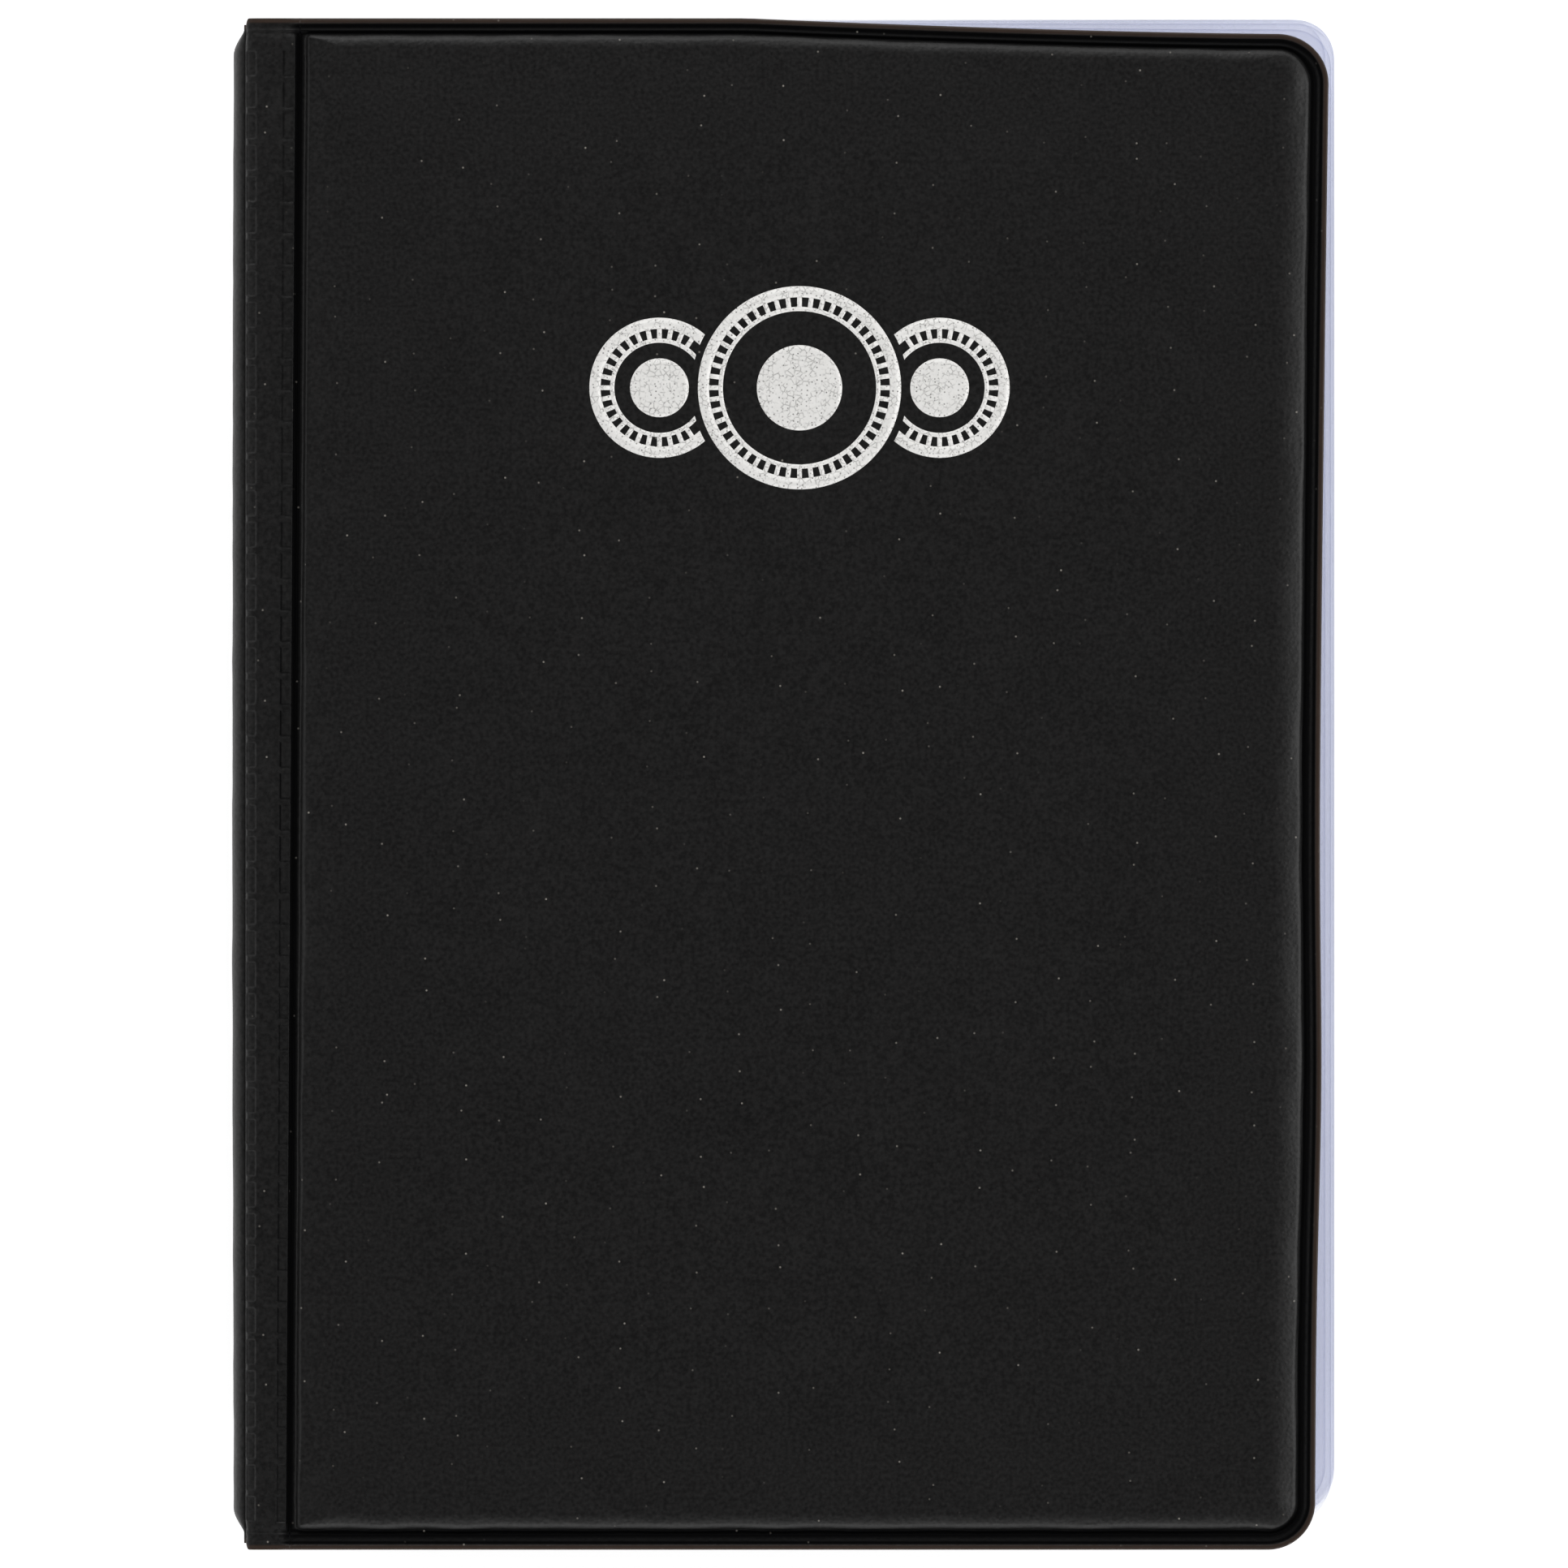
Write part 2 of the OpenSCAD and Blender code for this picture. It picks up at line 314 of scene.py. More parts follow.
class Builder:
    """Collects the points and faces of one piece."""

    def __init__(self):
        self.points = []
        self.faces = []

    def add(self, points):
        first = sum(len(block) for block in self.points)
        self.points.append(points.reshape(-1, 3))
        return first

    def grid_faces(self, first, rows, columns, closed, flip=False):
        spans = columns if closed else columns - 1
        i, j = np.meshgrid(np.arange(rows - 1), np.arange(spans), indexing="ij")
        here = (first + i * columns + j).ravel()
        beside = (first + i * columns + (j + 1) % columns).ravel()
        quads = np.stack([here, here + columns, beside + columns, beside], axis=1)
        self.faces.append(quads[:, ::-1] if flip else quads)

    def shell(self, outer, inner, closed=False):
        """A closed skin between two grids of points that have the same size.

        Where closed is true, the last column lies on the first one and the two are joined.
        """
        if closed:
            outer, inner = outer[:, :-1], inner[:, :-1]
        rows, columns = outer.shape[:2]
        top = self.add(outer)
        bottom = self.add(inner)
        self.grid_faces(top, rows, columns, closed)
        self.grid_faces(bottom, rows, columns, closed, flip=True)
        index = np.arange(rows * columns).reshape(rows, columns)
        if closed:
            borders = [index[0], index[-1]]
        else:
            borders = [np.concatenate([index[:, 0], index[-1, 1:], index[-2::-1, -1], index[0, -2:0:-1]])]
        for border in borders:
            following = np.roll(border, -1)
            walls = [top + following, top + border, bottom + border, bottom + following]
            self.faces.append(np.stack(walls, axis=1))

    def piece(self, name, material, attributes=None):
        points = np.concatenate(self.points) * MM
        faces = np.concatenate(self.faces)
        mesh = bpy.data.meshes.new(name)
        mesh.vertices.add(len(points))
        mesh.vertices.foreach_set("co", points.ravel())
        mesh.loops.add(faces.size)
        mesh.loops.foreach_set("vertex_index", faces.ravel())
        mesh.polygons.add(len(faces))
        mesh.polygons.foreach_set("loop_start", np.arange(0, faces.size, 4))
        mesh.polygons.foreach_set("use_smooth", np.ones(len(faces), bool))
        mesh.update(calc_edges=True)
        mesh.validate()
        work = bmesh.new()
        work.from_mesh(mesh)
        bmesh.ops.recalc_face_normals(work, faces=work.faces)
        work.to_mesh(mesh)
        work.free()
        for attribute, values in (attributes or {}).items():
            layer = mesh.attributes.new(attribute, "FLOAT", "POINT")
            layer.data.foreach_set("value", np.asarray(values, np.float32).ravel())
        mesh.materials.append(material)
        made = bpy.data.objects.new(name, mesh)
        bpy.context.scene.collection.objects.link(made)
        return made


def shell_piece(name, material, outer, inner, **attributes):
    """A piece that is one closed skin. Its inner grid takes the attributes given for the outer one."""
    builder = Builder()
    builder.shell(outer, inner)
    doubled = {key: np.concatenate([grid.ravel(), grid.ravel()]) for key, grid in attributes.items()}
    return builder.piece(name, material, doubled)


def stands_for(piece, body, slot, *nodes):
    """The piece rides on the body and stands for the nodes. The slot is not used."""
    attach(piece, body)
    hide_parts(*nodes)


def finish_node(node, material):
    """A CAD node that is shown as it is takes this material."""
    carried = frame["nodes"][node]
    carried.data.materials.clear()
    carried.data.materials.append(material)


# ---- material helpers ----

class Finish:
    """A material with a Principled shader, and short calls that add nodes to it."""

    def __init__(self, name, **values):
        self.material = bpy.data.materials.new(name)
        self.material.use_nodes = True
        self.tree = self.material.node_tree
        self.shader = self.tree.nodes["Principled BSDF"]
        self.output = self.tree.nodes["Material Output"]
        self.place = self.node("TexCoord").outputs["Object"]
        self.set(**values)

    def plug(self, node, socket, value):
        target = node.inputs[socket]
        if isinstance(value, bpy.types.NodeSocket):
            self.tree.links.new(value, target)
        else:
            target.default_value = value

    def set(self, **values):
        for socket, value in values.items():
            self.plug(self.shader, socket.replace("_", " "), value)

    def node(self, kind, inputs=None, **settings):
        made = self.tree.nodes.new("ShaderNode" + kind)
        for key, value in settings.items():
            setattr(made, key, value)
        for socket, value in (inputs or {}).items():
            self.plug(made, socket, value)
        return made

    def noise(self, size, detail=2.0, roughness=0.5):
        """Soft noise whose patches are about this many millimetres across."""
        inputs = {"Vector": self.place, "Scale": 1 / (size * MM), "Detail": detail, "Roughness": roughness}
        return self.node("TexNoise", inputs).outputs["Fac"]

    def cells(self, size, feature="F1", **settings):
        """Voronoi cells about this many millimetres across."""
        inputs = {"Vector": self.place, "Scale": 1 / (size * MM)}
        return self.node("TexVoronoi", inputs, feature=feature, **settings)

    def remap(self, value, low, high, new_low, new_high):
        inputs = {"Value": value, "From Min": low, "From Max": high, "To Min": new_low, "To Max": new_high}
        return self.node("MapRange", inputs).outputs["Result"]

    def math(self, operation, a, b):
        return self.node("Math", {0: a, 1: b}, operation=operation).outputs["Value"]

    def mix(self, share, a, b):
        return self.node("MixRGB", {"Fac": share, "Color1": a, "Color2": b}).outputs["Color"]

    def attribute(self, name):
        return self.node("Attribute", attribute_name=name).outputs["Fac"]

    def bump(self, height, depth):
        """A bump this many millimetres deep."""
        inputs = {"Height": height, "Distance": depth * MM, "Strength": 1.0}
        return self.node("Bump", inputs).outputs["Normal"]


def rgb(red, green, blue):
    return (red, green, blue, 1.0)


def pebbles(finish):
    """The height of embossed leather grain: low pebbles with finer wrinkles over them."""
    cells = finish.cells(0.42, feature="SMOOTH_F1").outputs["Distance"]
    fine = finish.noise(0.16, detail=1.0)
    return finish.math("ADD", finish.remap(cells, 0.1, 0.7, 1.0, 0.0), finish.math("MULTIPLY", fine, 0.5))


def dust(finish):
    """Specks of dust, bright or faint, that lie on faces turned up or down, and 0 elsewhere."""
    cells = finish.cells(4.6, voronoi_dimensions="2D")
    near = finish.remap(cells.outputs["Distance"], 0.014, 0.032, 1.0, 0.0)
    draw = finish.node("SeparateColor", {"Color": cells.outputs["Color"]}).outputs["Red"]
    bright = finish.math("POWER", finish.remap(draw, 0.2, 1.0, 0.0, 0.9), 2.2)
    facing = finish.node("SeparateXYZ", {"Vector": finish.node("TexCoord").outputs["Normal"]}).outputs["Z"]
    level = finish.math("GREATER_THAN", finish.math("ABSOLUTE", facing, 0.0), 0.8)
    return finish.math("MULTIPLY", near, finish.math("MULTIPLY", bright, level))


def cover_vinyl():
    """Black vinyl with leather grain and browner along its cut edge, with painted shade darkening its welds
    and weakening their reflection.
    """
    finish = Finish("cover_vinyl", IOR=1.37)
    weld = finish.attribute("weld")
    cut = finish.attribute("cut")
    mottle = finish.remap(finish.noise(0.45, detail=3.0), 0.33, 0.67, 0.0, 1.0)
    black = finish.mix(mottle, rgb(0.0022, 0.0021, 0.0021), rgb(0.0116, 0.0113, 0.0112))
    brown = finish.mix(finish.noise(3.0), rgb(0.026, 0.016, 0.011), rgb(0.036, 0.022, 0.016))
    # Painted shade: the black is darkened nearly to nothing along the rim's grooves, the panel's edge and the
    # ladder cells.
    edged = finish.mix(cut, finish.mix(weld, black, rgb(0.002, 0.002, 0.0022)), brown)
    finish.set(Base_Color=finish.mix(dust(finish), edged, rgb(0.30, 0.28, 0.25)))
    rough = finish.remap(finish.noise(7.0, detail=4.0), 0.3, 0.7, 0.43, 0.47)
    # Painted shade: the reflection is weakened in the same places.
    finish.set(Roughness=rough, Specular_IOR_Level=finish.remap(weld, 0.0, 1.0, 0.5, 0.05))
    finish.set(Normal=finish.bump(pebbles(finish), 0.017))
    return finish.material


def lining_vinyl():
    """Thinner black vinyl with a faint linen grain."""
    finish = Finish("lining_vinyl", IOR=1.42, Base_Color=rgb(0.010, 0.010, 0.011))
    linen = finish.math("ADD", finish.noise(0.5, detail=3.0), finish.cells(0.9).outputs["Distance"])
    finish.set(Roughness=finish.remap(finish.noise(9.0), 0.3, 0.7, 0.42, 0.55))
    finish.set(Normal=finish.bump(linen, 0.01))
    return finish.material


def grey_board():
    """Recycled greyboard with fibres."""
    finish = Finish("board", Roughness=0.9)
    fibres = finish.noise(0.7, detail=6.0, roughness=0.7)
    finish.set(Base_Color=finish.mix(fibres, rgb(0.30, 0.27, 0.22), rgb(0.48, 0.43, 0.35)))
    finish.set(Normal=finish.bump(fibres, 0.04))
    return finish.material


def open_foam():
    """Cream foam with fine open cells."""
    finish = Finish("foam", Roughness=0.95)
    bubbles = finish.cells(0.5).outputs["Distance"]
    finish.set(Base_Color=finish.mix(bubbles, rgb(0.55, 0.50, 0.40), rgb(0.80, 0.76, 0.66)))
    finish.set(Normal=finish.bump(bubbles, 0.08))
    return finish.material


def silver_foil():
    """Hot-stamped silver foil: matt metal, thin in the creases of the grain and with tiny gaps."""
    finish = Finish("silver_foil", Metallic=0.15, IOR=1.5)
    cells = finish.cells(0.55, voronoi_dimensions="2D")
    gap = finish.remap(cells.outputs["Distance"], 0.10, 0.22, 1.0, 0.0)
    draw = finish.node("SeparateColor", {"Color": cells.outputs["Color"]}).outputs["Red"]
    gaps = finish.math("MULTIPLY", gap, finish.remap(draw, 0.1, 1.0, 0.0, 0.9))
    to_crease = finish.cells(0.6, feature="DISTANCE_TO_EDGE", voronoi_dimensions="2D").outputs["Distance"]
    crease = finish.remap(to_crease, 0.02, 0.16, 1.0, 0.0)
    cell_wall_shade = finish.math("MULTIPLY", crease, finish.remap(finish.noise(0.7), 0.42, 0.62, 0.0, 0.5))
    missed = finish.math("MAXIMUM", gaps, cell_wall_shade)
    tone = finish.mix(finish.noise(2.5, detail=3.0), rgb(0.88, 0.87, 0.845), rgb(0.95, 0.94, 0.92))
    finish.set(Base_Color=finish.mix(missed, tone, rgb(0.10, 0.095, 0.09)))
    finish.set(Roughness=finish.remap(finish.noise(0.4), 0.3, 0.7, 0.42, 0.62))
    finish.set(Normal=finish.bump(missed, -0.02))
    return finish.material


def clear_film(name, tint, edge_tint):
    """Soft clear plastic film: tinted light goes through it, and it shines where it is seen at a slant."""
    finish = Finish(name, Roughness=0.14, IOR=1.45, Base_Color=rgb(0.62, 0.65, 0.82))
    ripple = finish.noise(9.0, detail=2.0)
    finish.set(Normal=finish.bump(ripple, 0.25))
    # The edge attribute darkens the tint: painted shade along the leaves' cut edges, and a darker tint along
    # the pocket seams.
    edge = finish.attribute("edge")
    clear = finish.node("BsdfTransparent", {"Color": finish.mix(edge, tint, edge_tint)}).outputs["BSDF"]
    slant = finish.node("LayerWeight", {"Blend": 0.25}).outputs["Facing"]
    share = finish.math("ADD", finish.math("MULTIPLY", finish.math("POWER", slant, 3.0), 0.5), 0.003)
    mixed = finish.node("MixShader", {0: share, 1: clear, 2: finish.shader.outputs["BSDF"]})
    finish.plug(finish.output, "Surface", mixed.outputs["Shader"])
    return finish.material


def pale_floor():
    """A smooth white table with a little light of its own, which keeps shadows soft."""
    finish = Finish("floor", Roughness=0.8)
    tone = finish.mix(finish.noise(400.0), rgb(0.84, 0.84, 0.84), rgb(0.86, 0.86, 0.86))
    finish.set(Base_Color=tone, Emission_Color=rgb(1.0, 1.0, 1.0), Emission_Strength=0.6)
    return finish.material


VINYL = cover_vinyl()
LINING = lining_vinyl()
BOARD = grey_board()
FOAM = open_foam()
FOIL = silver_foil()
LEAF_FILM = clear_film("leaf_film", rgb(0.965, 0.967, 0.978), rgb(0.87, 0.88, 0.92))
BINDING_FILM = clear_film("binding_film", rgb(0.80, 0.82, 0.88), rgb(0.80, 0.82, 0.88))


# ---- covers ----

def spine_side_lean(y):
    """How far the panel's edge along the spine lies from square."""
    return SPINE_SIDE_LEAN * y / HALF_H


def skewed(x, y):
    """Both covers are a little out of square: their heads slope down and their fore edges lean."""
    across = np.clip((x + 5) / (COVER_X1 + 4), 0, 1)
    up = np.clip((y - 5) / (HALF_H - 5), 0, 1)
    drop = HEAD_DROP * (1 - (1 - across) ** 1.6) * up ** 1.3
    share = y / HALF_H
    lean = FORE_LEAN * share + FORE_BOW * share ** 2 + FORE_BULGE * line_at(y, FORE_BULGE_Y, 20)
    return x + spine_side_lean(y) + lean * smooth(-30, COVER_X1, x), y - drop


def by_edge(x, y, values):
    """A value that differs from edge to edge of a cover and blends across its corners."""
    from_fore = COVER_X1 - x
    from_end = HALF_H - np.abs(y)
    by_fore = smooth(0.25, 0.75, from_end / np.maximum(from_fore + from_end, 1e-6))
    at_end = values["tail"] + (values["head"] - values["tail"]) * smooth(-30, 30, y)
    return at_end + (values["fore"] - at_end) * by_fore


def rim_distance(x, y):
    """How far a point is in from the cut edge, stretched so that the rim is RIM_W wide on every side."""
    edge = np.minimum(COVER_X1 - x, HALF_H - np.abs(y))
    shift = by_edge(x, y, RIDGE_SHIFT) * line_at(edge, 1.3, 0.35)
    return edge - shift - by_edge(x, y, RIM_SPREAD) * smooth(0.9, RIM_W, edge)


def edge_rounding(edge):
    """How far the face of a film drops at its cut edge."""
    return EDGE_ROUND_DEPTH * (1 - smooth(0.0, EDGE_ROUND_W, edge))


def rim_height(edge):
    """The welded rim, in from the cut edge: a flat band, a groove, a thin ridge and a sunken floor."""
    groove = RIM_GROOVE_DEPTH * line_at(edge, RIM_GROOVE_AT, RIM_GROOVE_HALF_W)
    ridge = RIDGE_H * line_at(edge, RIDGE_AT, 0.12)
    sunken = (FLANGE_H - RIM_FLOOR_H) * smooth(RIDGE_AT + 0.12, RIDGE_AT + 0.30, edge)
    return FLANGE_H - groove + ridge - sunken - edge_rounding(edge)


def cut_band(edge):
    """1 on the narrow band along the cut edge, which is tinted brown."""
    return 1 - smooth(0.46, 0.60, edge)


def weld_band(edge):
    """Painted shade of the rim: 1 on its pressed lines, and a little less on the ridge between them."""
    pressed = smooth(0.52, 0.66, edge) * (1 - smooth(RIM_W - 0.05, RIM_W + 0.25, edge))
    return pressed * (1 - 0.15 * line_at(edge, RIDGE_AT - 0.15, 0.15))


def rim_pressed(x):
    """0 beside the fold, where the rim is hardly pressed, and 1 over the rest of the shoulder."""
    return smooth(FOLD_X + 4.0, FOLD_X + 5.4, x)


def shoulder_height(x, edge):
    """The flat welded strip between the spine and the panel, with a deep groove along the panel."""
    strength = 0.3 + 0.7 * rim_pressed(x)
    rim = FLANGE_H + strength * (rim_height(edge) - FLANGE_H)
    by_panel = smooth(PANEL_X0 - GROOVE_W - 0.12, PANEL_X0 - GROOVE_W + 0.1, x)
    inside = smooth(1.45, 1.8, edge)
    pad = SHOULDER_PAD_H * smooth(1.7, 3.2, edge)
    level = rim + (FLANGE_H - rim) * smooth(RIM_W - 0.4, RIM_W + 0.5, edge) + pad
    droop = SHOULDER_DROOP * np.clip((FOLD_X + 1.5 - x) / 1.4, 0, 1) ** 2
    return level + (GROOVE_H - level) * by_panel * inside - droop


def panel_depth(x, edge):
    """How far a point is inside the padded panel."""
    return rounded_depth(edge - RIM_W, x - PANEL_X0, PANEL_LEFT_R)


def shoulder_rise(depth, width, height):
    """The broad, even rise behind a padded edge, level once depth reaches width."""
    ahead = 1 - np.clip(depth / width, 0, 1)
    return height * (1 - ahead ** 2)


def outer_edge_rise(x, y, depth):
    """The rise of the panel from 0 to 1 along its three outer edges: steep beside the weld, then broad."""
    steep_w, steep_share, broad_w = (by_edge(x, y, values) for values in (STEEP_W, STEEP_SHARE, BROAD_W))
    return cushion(depth, steep_w, steep_share) + shoulder_rise(depth, broad_w, 1 - steep_share)


def spine_edge_rise(depth):
    """The rise of the panel from 0 to 1 along the spine: a short straight wall, then broad."""
    wall = SPINE_STEEP_SHARE * np.clip(depth / SPINE_STEEP_W, 0, 1)
    return wall + shoulder_rise(depth, SPINE_BROAD_W, 1 - SPINE_STEEP_SHARE)


def panel_rise(side, x, y, depth):
    """Height of the padded panel over its surroundings, with the puckers that its weld pulls into it."""
    seed = 3 if side == "front" else 40
    full = PANEL_TOP - RIM_FLOOR_H - CROWN_H
    pulled = depth + 0.10 * waves(x, y, 9.0, seed) * np.exp(-np.maximum(depth, 0) / 2.0)
    edge_rise = np.minimum(outer_edge_rise(x, y, pulled), spine_edge_rise(x - PANEL_X0))
    rise = full * edge_rise + CROWN_H * smooth(0, CROWN_W, depth)
    border = smooth(0.0, 0.8, depth) * np.exp(-np.maximum(depth - 0.8, 0) / 2.6)
    puckers = 0.045 * waves(x, y, 6.5, seed + 1) * border
    broad = 0.05 * waves(x, y, 48.0, seed + 2) * smooth(1.0, 8.0, depth)
    return np.maximum(rise + puckers + broad, 0) * (depth > 0)


def cover_height(side, x, y, edge):
    """Height of a cover's outer face above its weld plane."""
    depth = panel_depth(x, edge)
    low = rim_height(edge)
    by_panel = 1 - smooth(-0.05, 0.15, x - PANEL_X0)
    low = low + (shoulder_height(x, edge) - low) * by_panel
    height = low + panel_rise(side, x, y, depth)
    # The back cover lies on the table, which presses it flat.
    if side == "back":
        height = np.minimum(height, PANEL_TOP)
    return height


def spans_to_edge(start, edge, border):
    """Spans of grid lines that lie closer together towards an edge of a cover."""
    return (
        (start, edge - 9, 1.6), (edge - 9, edge - 5.4, 0.6),
        (edge - 5.4, edge - 3.4, 2.2 * border), (edge - 3.4, edge, border),
    )


def cover_grid(x0, border):
    """A grid over a cover from x0 to the fore edge: x, y and the distance in from the cut edge."""
    by_spine = ((x0, PANEL_X0 + 0.7, border), (PANEL_X0 + 0.7, PANEL_X0 + 4, 3 * border))
    x_lines = grid_lines(*by_spine, *spans_to_edge(PANEL_X0 + 4, COVER_X1, border))
    y_lines = mirrored(grid_lines(*spans_to_edge(0, HALF_H, border)))
    x, y = np.meshgrid(x_lines, y_lines, indexing="ij")
    return x, y, rim_distance(x, y)


def place_on_cover(side, x, y, height):
    """Points of a cover from its square grid and a height."""
    px, py = round_fore_corners(x, y, COVER_X1, -HALF_H, HALF_H, CORNER_R)
    px, py = skewed(px, py)
    return surface(px, py, WELD_Z[side] + OUTWARD[side] * height)


def cover_skin(side):
    """The padded outer vinyl of a cover, from the groove beside the shoulder to the fore edge."""
    x, y, edge = cover_grid(PIECE_JOIN_X, 0.13)
    outer = cover_height(side, x, y, edge)
    inner = np.maximum(outer - SKIN_SHELL_T, 0.0) * smooth(0.6, 2.2, panel_depth(x, edge))
    # Painted shade: the groove beside the shoulder, the rim's welds and a line along the crease just inside
    # the panel's edge are darkened.
    groove = 1 - smooth(PANEL_X0 - 0.5, PANEL_X0 + 0.05, x)
    crease_shade = 0.4 * line_at(x, PANEL_X0 + 0.42, 0.22)
    weld = np.maximum(weld_band(edge), np.maximum(groove, crease_shade) * smooth(1.5, 1.8, edge))
    outer_points = place_on_cover(side, x, y, outer)
    inner_points = place_on_cover(side, x, y, inner)
    made = shell_piece(f"{side}_cover_skin", VINYL, outer_points, inner_points, cut=cut_band(edge), weld=weld)
    stands_for(made, f"{side}_cover", "cover_vinyl", f"{side}_skin")


def cover_foam(side):
    """The thin foam under the outer vinyl."""
    inset = RIM_W + 1.2
    spine_inset = 1.1
    x, y, edge = cover_grid(PANEL_X0 + spine_inset, 0.6)
    top = np.maximum(cover_height(side, x, y, edge) - SKIN_T, BOARD_TOP + 0.02)
    inside = np.ix_(x[:, 0] <= COVER_X1 - inset, np.abs(y[0]) <= HALF_H - inset)
    outer = place_on_cover(side, x[inside], y[inside], top[inside])
    inner = place_on_cover(side, x[inside], y[inside], np.full(top[inside].shape, BOARD_TOP + 0.01))
    made = shell_piece(f"{side}_cover_foam", FOAM, outer, inner)
    stands_for(made, f"{side}_cover", "foam", f"{side}_foam")


def cover_board(side):
    """The stiff board, with its cut edges a little crushed."""
    x_lines = grid_lines(
        (PANEL_X0 + BOARD_INSET, PANEL_X0 + 2, 0.2), (PANEL_X0 + 2, COVER_X1 - 9, 4),
        (COVER_X1 - 9, COVER_X1 - RIM_W - BOARD_INSET, 0.4),
    )
    y_lines = mirrored(grid_lines((0, HALF_H - 9, 4), (HALF_H - 9, HALF_H - RIM_W - BOARD_INSET, 0.4)))
    x, y = np.meshgrid(x_lines, y_lines, indexing="ij")
    edge = np.minimum(COVER_X1 - x, HALF_H - np.abs(y)) - RIM_W - BOARD_INSET
    inside = np.minimum(edge, x - x_lines[0])
    crushed = BOARD_CRUSH * (1 - smooth(0, 0.7, inside))
    outer = place_on_cover(side, x, y, BOARD_TOP - crushed)
    inner = place_on_cover(side, x, y, BOARD_BOTTOM + crushed)
    made = shell_piece(f"{side}_cover_board", BOARD, outer, inner)
    stands_for(made, f"{side}_cover", "board", f"{side}_board")


def cover_lining(side):
    """The inner film: flat at the welded rim, and stretched over the board between."""
    x, y, edge = cover_grid(PIECE_JOIN_X, 0.16)
    depth = panel_depth(x, edge)
    drop = cushion(depth, LINING_ROUND_W, -LINING_TOP - FILM_T)
    weld_lines = 0.05 * line_at(edge, 0.80, 0.28)
    low = -(FILM_T + drop * (depth > 0)) + weld_lines + edge_rounding(edge)
    high = np.minimum(low + LINING_SHELL_T, 0.0)
    outer = place_on_cover(side, x, y, high)
    inner = place_on_cover(side, x, y, low)
    made = shell_piece(f"{side}_cover_lining", LINING, outer, inner)
    stands_for(made, f"{side}_cover", "lining_vinyl", f"{side}_lining")


# ---- hinges: the shoulder of a cover, its ladder welds and the fold onto the spine ----

# Lengths of travel across a hinge, from the piece join to the end that is tucked in at the spine
FLAT_LENGTH = PIECE_JOIN_X - (FOLD_X + FOLD_R)
ARC_LENGTH = FOLD_R * math.pi / 2
TUCK = 1.0
HINGE_LENGTH = FLAT_LENGTH + ARC_LENGTH + TUCK - FOLD_R
PANEL_LADDER = (PIECE_JOIN_X - LADDER_BY_PANEL[1], PIECE_JOIN_X - LADDER_BY_PANEL[0])
FOLD_LADDER = (PIECE_JOIN_X - LADDER_BY_FOLD_X1, FLAT_LENGTH + 0.25)


def fold_path(travel):
    """Where the weld plane runs: along the shoulder, round the fold and down the spine.

    Gives x, the height over the cover's weld plane, and the outward direction as (x, height).
    """
    turn = np.clip((travel - FLAT_LENGTH) / FOLD_R, 0, math.pi / 2)
    down = np.maximum(travel - FLAT_LENGTH - ARC_LENGTH, 0)
    x = PIECE_JOIN_X - np.minimum(travel, FLAT_LENGTH) - FOLD_R * np.sin(turn)
    height = -FOLD_R * (1 - np.cos(turn)) - down
    return x, height, -np.sin(turn), np.cos(turn)


def height_in_row(y):
    """Height over the foot of the ladder cell at y. A row is a cell and the gap above it."""
    return np.mod(y - LADDER_MID_Y + LADDER_HALF_H, CELL_PITCH)


def pressed_cells(travel, y, ladder, depth):
    """The sunken cells of one ladder. A ladder is its reach along the travel."""
    near, far = ladder
    row = height_in_row(y)
    across = np.minimum(travel - near, far - travel)
    in_cell = np.minimum(row, CELL_H - row)
    in_gap = np.minimum(row - CELL_H, CELL_PITCH - row)
    inside = rounded_depth(across, np.where(row < CELL_H, in_cell, -in_gap), CELL_CORNER_R)
    return -depth * smooth(-0.05, 0.10, inside) * (np.abs(y - LADDER_MID_Y) < LADDER_HALF_H)


def cell_lines(travel, y, ladder, strengths, half_width):
    """Soft lines along the cells of one ladder, as strong as given for
    their side by the spine, their side by the panel, their foot and their head."""
    near, far = ladder
    by_spine, by_panel, foot, head = strengths
    row = height_in_row(y)
    in_row = smooth(-0.1, 0.1, np.minimum(row, CELL_H - row))
    in_column = smooth(-0.1, 0.1, np.minimum(travel - near, far - travel))
    sides = by_spine * line_at(travel, far, half_width) + by_panel * line_at(travel, near, half_width)
    feet = foot * (line_at(row, 0.0, half_width) + line_at(row, CELL_PITCH, half_width))
    ends = feet + head * line_at(row, CELL_H, half_width)
    return np.maximum(sides * in_row, ends * in_column) * (np.abs(y - LADDER_MID_Y) < LADDER_HALF_H + 0.1)


def hinge_travel_lines():
    """Grid lines across a hinge, close together at the ladders and round the fold."""
    panel_end = PANEL_LADDER[1]
    fold_start = FOLD_LADDER[0]
    arc_end = FLAT_LENGTH + ARC_LENGTH
    return grid_lines(
        (0, 0.65, 0.11), (0.65, panel_end - 0.25, 0.25), (panel_end - 0.25, panel_end + 0.25, 0.08),
        (panel_end + 0.25, fold_start - 0.2, 0.35), (fold_start - 0.2, fold_start + 0.2, 0.09),
        (fold_start + 0.2, FLAT_LENGTH - 0.05, 0.15), (FLAT_LENGTH - 0.05, arc_end, 0.045),
        (arc_end, HINGE_LENGTH, 0.2),
    )


